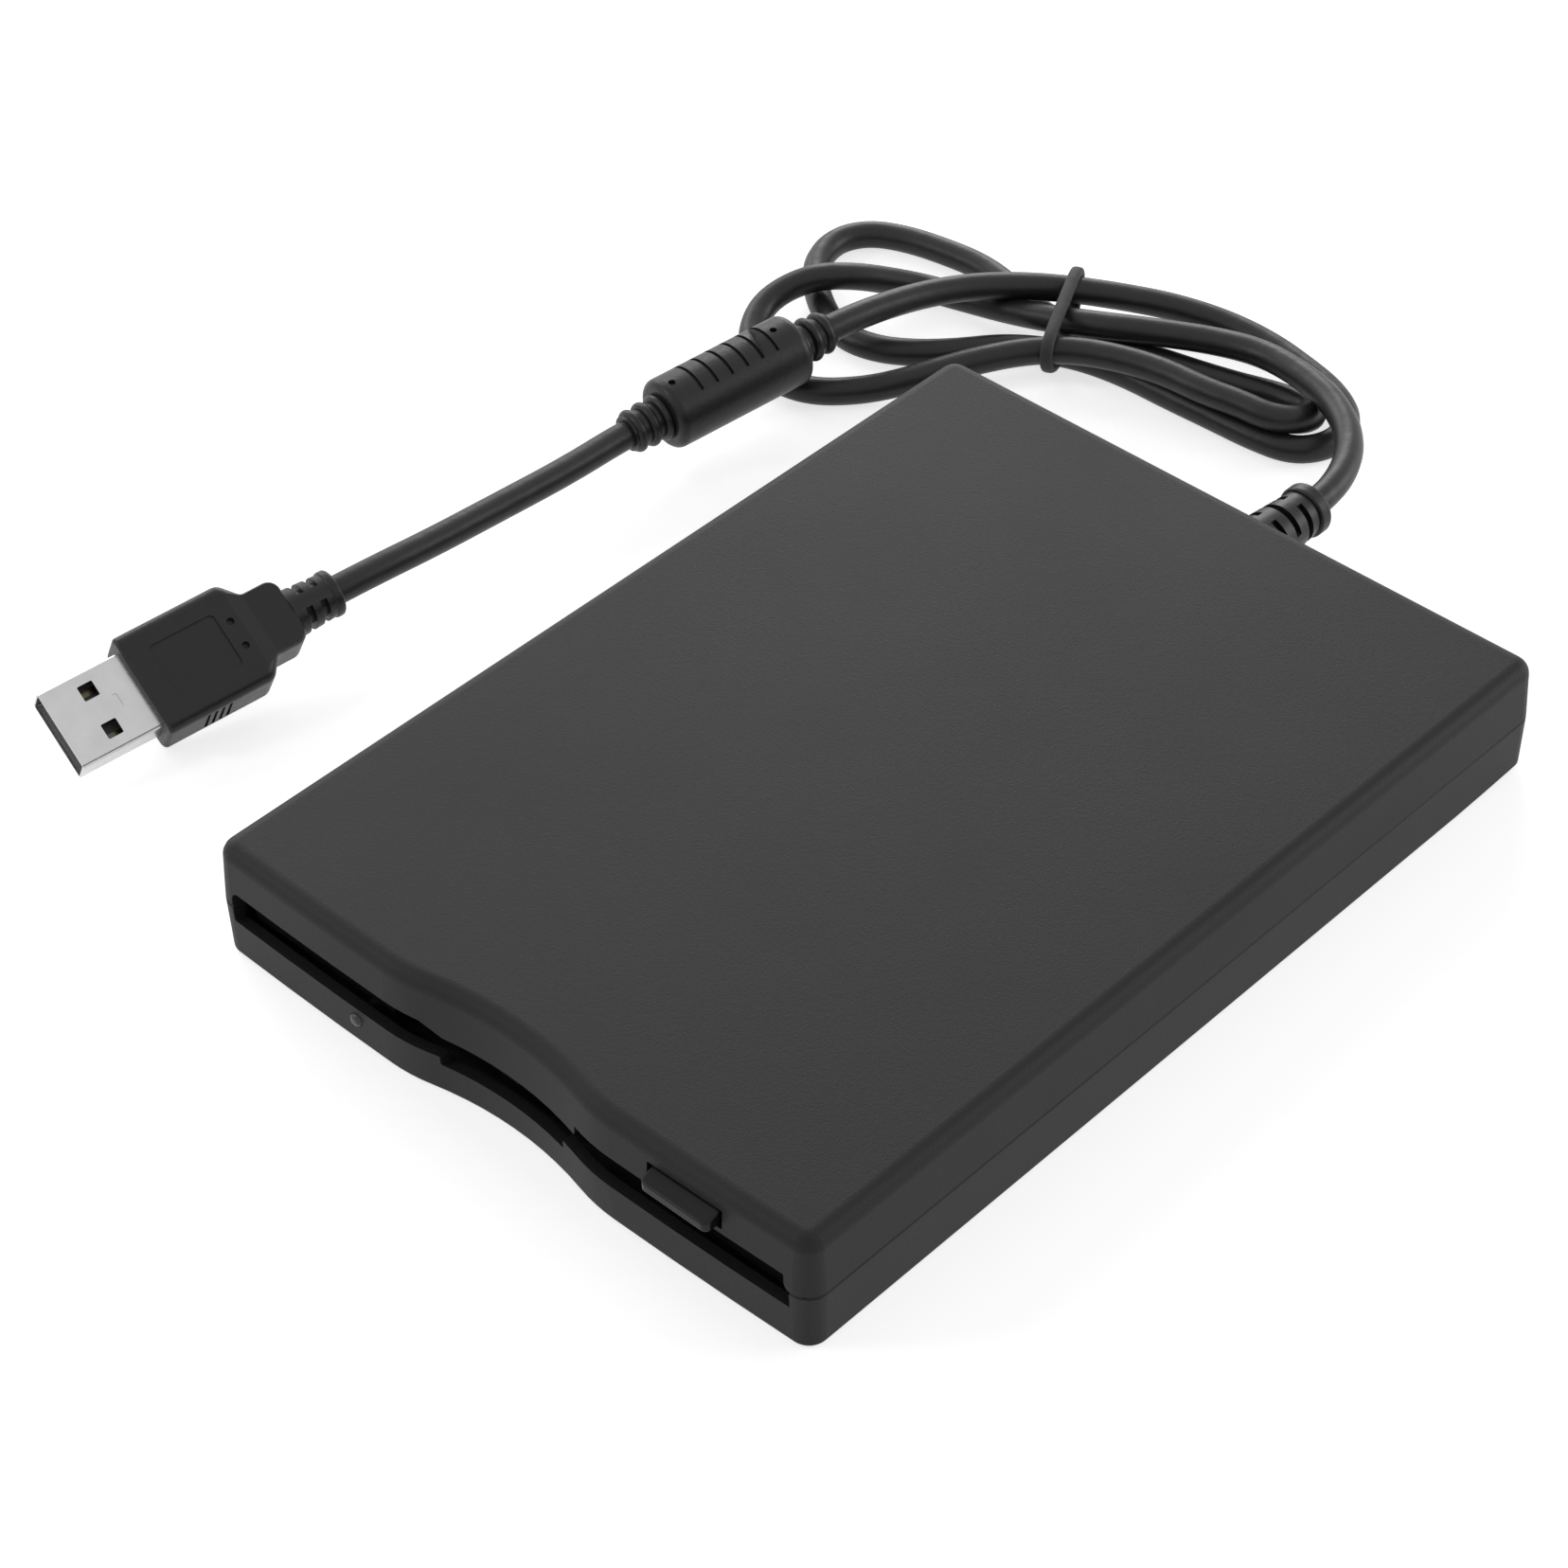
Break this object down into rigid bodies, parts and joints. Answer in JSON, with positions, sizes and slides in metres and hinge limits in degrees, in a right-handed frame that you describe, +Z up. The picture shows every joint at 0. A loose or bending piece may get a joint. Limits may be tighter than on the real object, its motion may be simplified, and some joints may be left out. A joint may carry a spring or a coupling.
{
  "type": "external floppy disk drive",
  "caption": "Flat external floppy disk drive with a front disk slot, eject button and status lens, and a coiled USB cord with a filter bead and plug at the rear.",
  "frame": {"origin": "centre of the casing's footprint on the surface it stands on", "axes": "+X to the right seen from the disk slot, +Y from the slot to the cord outlet, +Z up"},
  "size_m": [0.1536, 0.197, 0.018],
  "materials": {
    "casing": "fine matt texture, black",
    "button": "satin black",
    "flap": "matt black",
    "steel": "zinc-plated sheet",
    "spring": "spring wire",
    "rotor": "pressed steel",
    "magnet": "bonded magnet",
    "board": "solder-masked laminate",
    "brass": "sintered bearing",
    "copper": "enamelled winding",
    "rod": "ground steel",
    "carriage": "glass-filled plastic",
    "ceramic": "ceramic head",
    "chip": "moulded epoxy",
    "header": "natural nylon",
    "lens": "clear moulded light pipe",
    "pad": "soft black rubber",
    "cord_rubber": "satin black moulded PVC",
    "cord_pvc": "glossy black PVC",
    "ferrite": "sintered ferrite",
    "plug_steel": "plated steel",
    "tongue": "black moulded insulator",
    "gold": "gilt contacts"
  },
  "bodies": {
    "casing": {"base_shell": "casing", "top_cover": "casing", "frame": "steel", "lever_post": "steel", "lever_spring": "spring", "motor_board": "board", "spindle_bearing": "brass", "stator_coils": "copper", "guide_rod": "rod", "stepper_motor": "steel", "usb_board": "board", "control_board": "board", "board_chips": "chip", "cord_header": "header", "switch_housings": "chip", "status_lens": "lens", "status_led": "header", "frame_screws": "rod", "cover_screws": "rod", "rubber_pads": "pad", "cord_boot": "cord_rubber", "cord_device_end": "cord_pvc", "cord_bead_end": "cord_pvc", "cord_in_bead": "cord_pvc", "cord_plug_end": "cord_pvc", "cord_hank": "cord_pvc", "hank_tie": "pad", "bead_moulding": "cord_rubber", "ferrite_core": "ferrite", "plug_overmould": "cord_rubber", "plug_shell": "plug_steel", "plug_tongue": "tongue", "plug_contacts": "gold"},
    "eject_slide": {"eject_button": "button", "eject_plate": "steel"},
    "flap_left": {"dust_flap_left": "flap"},
    "flap_right": {"dust_flap_right": "flap"},
    "carrier": {"disk_carrier": "steel"},
    "lever": {"latch_lever": "steel"},
    "spindle": {"rotor": "rotor", "ring_magnet": "magnet", "hub_table": "steel", "drive_pin": "steel"},
    "carriage": {"head_carriage": "carriage", "lower_head": "ceramic", "arm_pin": "rod"},
    "arm": {"upper_arm": "carriage", "upper_head": "ceramic"},
    "screw": {"lead_screw": "rod"},
    "write_plunger": {"plunger_write": "header"},
    "density_plunger": {"plunger_density": "header"},
    "disk_plunger": {"plunger_disk": "header"}
  },
  "joints": [
    {"name": "eject_release", "type": "slide", "parent": "casing", "child": "eject_slide", "axis": [0, -1, 0], "range_m": [0, 0.004]},
    {"name": "carrier_drop", "type": "slide", "parent": "casing", "child": "carrier", "axis": [0, 0, -1], "range_m": [0, 0.002]},
    {"name": "lever_swing", "type": "hinge", "parent": "casing", "child": "lever", "pos_m": [-0.034, 0.031, 0.0115], "axis": [0, 0, 1], "range_deg": [0, 47], "stiffness_Nm_per_rad": 0.0008},
    {"name": "spindle_spin", "type": "hinge", "parent": "casing", "child": "spindle", "pos_m": [0, -0.0195, 0.0035], "axis": [0, 0, 1], "continuous": true},
    {"name": "head_travel", "type": "slide", "parent": "casing", "child": "carriage", "axis": [0, -1, 0], "range_m": [0, 0.0148]},
    {"name": "screw_turn", "type": "hinge", "parent": "casing", "child": "screw", "pos_m": [-0.016, 0.037, 0.0074], "axis": [0, 1, 0], "range_deg": [0, 1777]},
    {"name": "arm_lower", "type": "hinge", "parent": "carriage", "child": "arm", "pos_m": [0, 0.048, 0.0092], "axis": [1, 0, 0], "range_deg": [0, 9.05]},
    {"name": "left_flap_swing", "type": "hinge", "parent": "casing", "child": "flap_left", "pos_m": [-0.0339, -0.0677, 0.01175], "axis": [1, 0, 0], "range_deg": [0, 85], "stiffness_Nm_per_rad": 0.0002},
    {"name": "right_flap_swing", "type": "hinge", "parent": "casing", "child": "flap_right", "pos_m": [0.0339, -0.0677, 0.01175], "axis": [1, 0, 0], "range_deg": [0, 85], "stiffness_Nm_per_rad": 0.0002},
    {"name": "write_press", "type": "slide", "parent": "casing", "child": "write_plunger", "axis": [0, 0, -1], "range_m": [0, 0.0008], "stiffness_N_per_m": 150},
    {"name": "density_press", "type": "slide", "parent": "casing", "child": "density_plunger", "axis": [0, 0, -1], "range_m": [0, 0.0008], "stiffness_N_per_m": 150},
    {"name": "disk_press", "type": "slide", "parent": "casing", "child": "disk_plunger", "axis": [0, 0, -1], "range_m": [0, 0.0008], "stiffness_N_per_m": 150}
  ],
  "couplings": [
    {"joint": "carrier_drop", "follows": "eject_release", "ratio": 0.5},
    {"joint": "arm_lower", "follows": "eject_release", "rad_per_m": 39.27},
    {"joint": "screw_turn", "follows": "head_travel", "rad_per_m": 2094.4}
  ]
}
